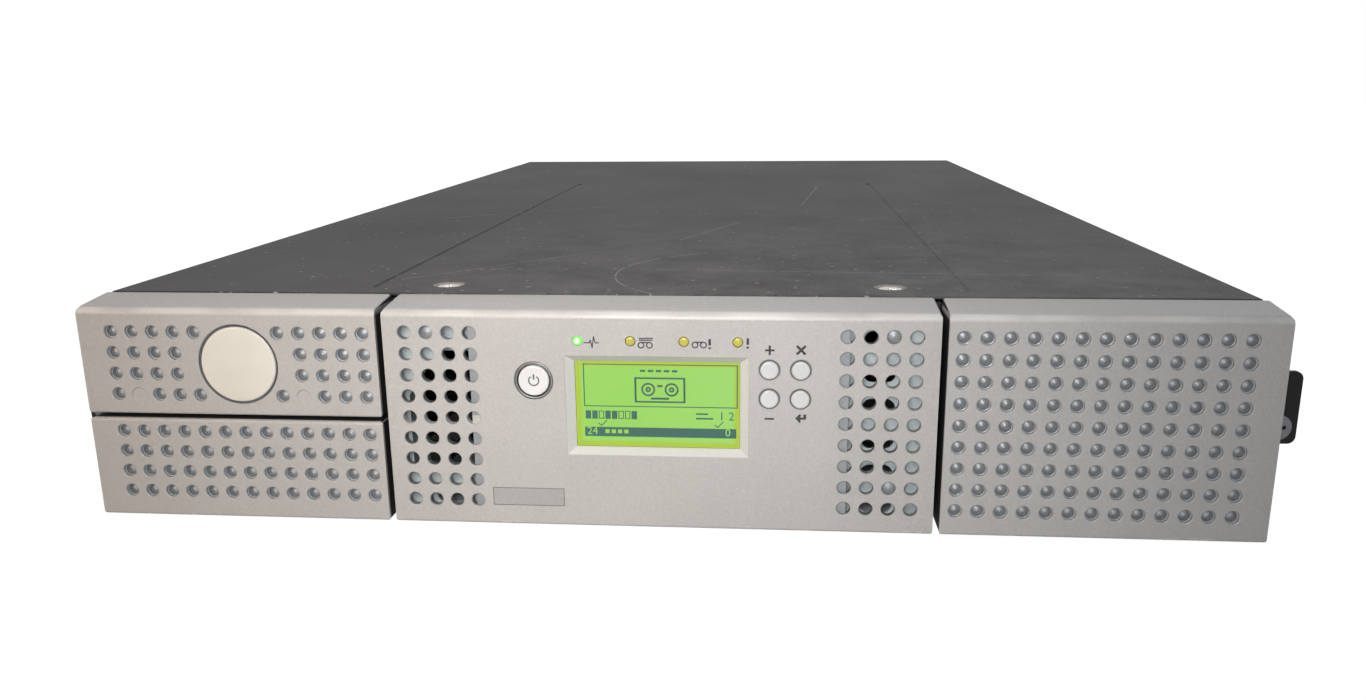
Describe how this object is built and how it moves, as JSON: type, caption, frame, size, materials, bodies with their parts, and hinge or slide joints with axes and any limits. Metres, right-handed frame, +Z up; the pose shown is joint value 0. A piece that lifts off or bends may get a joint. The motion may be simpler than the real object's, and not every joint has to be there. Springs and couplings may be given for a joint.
{
  "type": "data tape library",
  "caption": "Rack-mount data tape library with pull-out cartridge magazines, an input station, a control panel, a cartridge robot and a removable drive sled.",
  "frame": {"origin": "under the middle of the whole object, on the surface it stands on", "axes": "+X to the right of someone facing the front, +Y to the rear, +Z up"},
  "size_m": [0.4826, 0.7908, 0.0876],
  "materials": {
    "zinc_sheet": "zinc-plated sheet, satin",
    "cover_paint": "fine-textured charcoal powder coat",
    "bezel_silver": "silver-grey painted plastic, satin",
    "badge_white": "gloss cream-white plastic",
    "button_white": "satin white plastic",
    "display_black": "black display body",
    "display_glass": "clear window over a lit display",
    "board_green": "green solder mask",
    "lamp_green": "lit green light guide",
    "lamp_amber": "amber light guide",
    "black_sheet": "black painted steel",
    "dark_screw": "blackened steel",
    "bright_screw": "worn bright steel",
    "magazine_plastic": "dark grey moulded plastic",
    "spring_steel": "bright spring steel",
    "ground_steel": "ground steel shaft",
    "carriage_metal": "brushed aluminium",
    "bearing_plastic": "off-white acetal",
    "gear_plastic": "off-white acetal",
    "motor_metal": "dark motor can",
    "tray_plastic": "dark grey moulded plastic",
    "drive_metal": "cast and sheet aluminium",
    "handle_plastic": "blue touch-point plastic",
    "port_metal": "nickel-plated shell",
    "inlet_black": "black moulded inlet",
    "fan_black": "black moulded fan"
  },
  "bodies": {
    "chassis": {"base_tray": "zinc_sheet", "top_cover": "cover_paint", "front_bulkhead": "zinc_sheet", "rear_panel": "zinc_sheet", "case_screws": "bright_screw", "rack_ears": "black_sheet", "rack_ear_screws": "dark_screw", "centre_bezel": "bezel_silver", "display_module": "display_black", "display_window": "display_glass", "control_board": "board_green", "ready_lamp": "lamp_green", "status_lamps": "lamp_amber", "magazine_tracks": "bearing_plastic", "guide_rod": "ground_steel", "drive_rack": "gear_plastic", "bay_guides": "zinc_sheet", "controller_card": "board_green", "network_jack": "port_metal", "usb_port": "port_metal", "controller_faceplate": "zinc_sheet"},
    "left_magazine": {"left_magazine_bezel": "bezel_silver", "badge_disc": "badge_white", "left_magazine_frame": "magazine_plastic", "left_magazine_dividers": "magazine_plastic", "left_magazine_shelves": "magazine_plastic", "left_magazine_springs": "spring_steel"},
    "io_station": {"io_station_bezel": "bezel_silver", "io_station_tray": "magazine_plastic"},
    "right_magazine": {"right_magazine_bezel": "bezel_silver", "right_magazine_frame": "magazine_plastic", "right_magazine_dividers": "magazine_plastic", "right_magazine_shelves": "magazine_plastic", "right_magazine_springs": "spring_steel"},
    "power_key": {"power_button": "button_white"},
    "plus_key": {"plus_button": "button_white"},
    "cancel_key": {"cancel_button": "button_white"},
    "minus_key": {"minus_button": "button_white"},
    "enter_key": {"enter_button": "button_white"},
    "carriage": {"carriage_plate": "carriage_metal", "carriage_bearings": "bearing_plastic", "carriage_motors": "motor_metal", "lift_posts": "ground_steel", "lift_brace": "carriage_metal"},
    "pinion": {"travel_pinion": "gear_plastic"},
    "screw": {"lift_screw": "ground_steel"},
    "lift": {"lift_platform": "carriage_metal"},
    "turntable": {"cartridge_tray": "tray_plastic", "barcode_reader": "inlet_black"},
    "gripper": {"gripper_fork": "spring_steel"},
    "drive_module": {"drive_sled": "zinc_sheet", "tape_drive": "drive_metal", "drive_ports": "port_metal", "sled_handle": "handle_plastic", "sled_thumbscrews": "dark_screw"},
    "supply_module": {"power_supply": "zinc_sheet", "supply_handle": "handle_plastic", "power_inlet": "inlet_black", "fan_frame": "fan_black"},
    "fan": {"fan_rotor": "fan_black"}
  },
  "joints": [
    {"name": "left_magazine_slide", "type": "slide", "parent": "chassis", "child": "left_magazine", "axis": [0, -1, 0], "range_m": [0, 0.42]},
    {"name": "io_station_slide", "type": "slide", "parent": "left_magazine", "child": "io_station", "axis": [0, -1, 0], "range_m": [0, 0.112]},
    {"name": "right_magazine_slide", "type": "slide", "parent": "chassis", "child": "right_magazine", "axis": [0, -1, 0], "range_m": [0, 0.42]},
    {"name": "power_button_press", "type": "slide", "parent": "chassis", "child": "power_key", "axis": [0, 1, 0], "range_m": [0, 0.0008], "stiffness_N_per_m": 900, "springref_m": -0.001},
    {"name": "plus_button_press", "type": "slide", "parent": "chassis", "child": "plus_key", "axis": [0, 1, 0], "range_m": [0, 0.0008], "stiffness_N_per_m": 800, "springref_m": -0.001},
    {"name": "cancel_button_press", "type": "slide", "parent": "chassis", "child": "cancel_key", "axis": [0, 1, 0], "range_m": [0, 0.0008], "stiffness_N_per_m": 800, "springref_m": -0.001},
    {"name": "minus_button_press", "type": "slide", "parent": "chassis", "child": "minus_key", "axis": [0, 1, 0], "range_m": [0, 0.0008], "stiffness_N_per_m": 800, "springref_m": -0.001},
    {"name": "enter_button_press", "type": "slide", "parent": "chassis", "child": "enter_key", "axis": [0, 1, 0], "range_m": [0, 0.0008], "stiffness_N_per_m": 800, "springref_m": -0.001},
    {"name": "accessor_travel", "type": "slide", "parent": "chassis", "child": "carriage", "axis": [0, 1, 0], "range_m": [-0.214, 0.17765]},
    {"name": "pinion_spin", "type": "hinge", "parent": "carriage", "child": "pinion", "pos_m": [0.08825, -0.03065, 0.005], "axis": [0, 0, 1], "range_deg": [-1023, 1232]},
    {"name": "elevator_lift", "type": "slide", "parent": "carriage", "child": "lift", "axis": [0, 0, 1], "range_m": [0, 0.048]},
    {"name": "lift_screw_turn", "type": "hinge", "parent": "carriage", "child": "screw", "pos_m": [-0.084, -0.03065, 0.0045], "axis": [0, 0, 1], "range_deg": [-2165, 5]},
    {"name": "turntable_turn", "type": "hinge", "parent": "lift", "child": "turntable", "pos_m": [0, -0.09665, 0.0073], "axis": [0, 0, 1], "range_deg": [-90, 90]},
    {"name": "gripper_reach", "type": "slide", "parent": "turntable", "child": "gripper", "axis": [0, 1, 0], "range_m": [0, 0.062]},
    {"name": "drive_module_slide", "type": "slide", "parent": "chassis", "child": "drive_module", "axis": [0, 1, 0], "range_m": [0, 0.19]},
    {"name": "supply_module_slide", "type": "slide", "parent": "chassis", "child": "supply_module", "axis": [0, 1, 0], "range_m": [0, 0.15]},
    {"name": "fan_spin", "type": "hinge", "parent": "supply_module", "child": "fan", "pos_m": [0.141, 0.35785, 0.044], "axis": [0, 1, 0], "continuous": true}
  ],
  "couplings": [
    {"joint": "pinion_spin", "follows": "accessor_travel", "rad_per_m": -100},
    {"joint": "lift_screw_turn", "follows": "elevator_lift", "rad_per_m": -785.4}
  ]
}
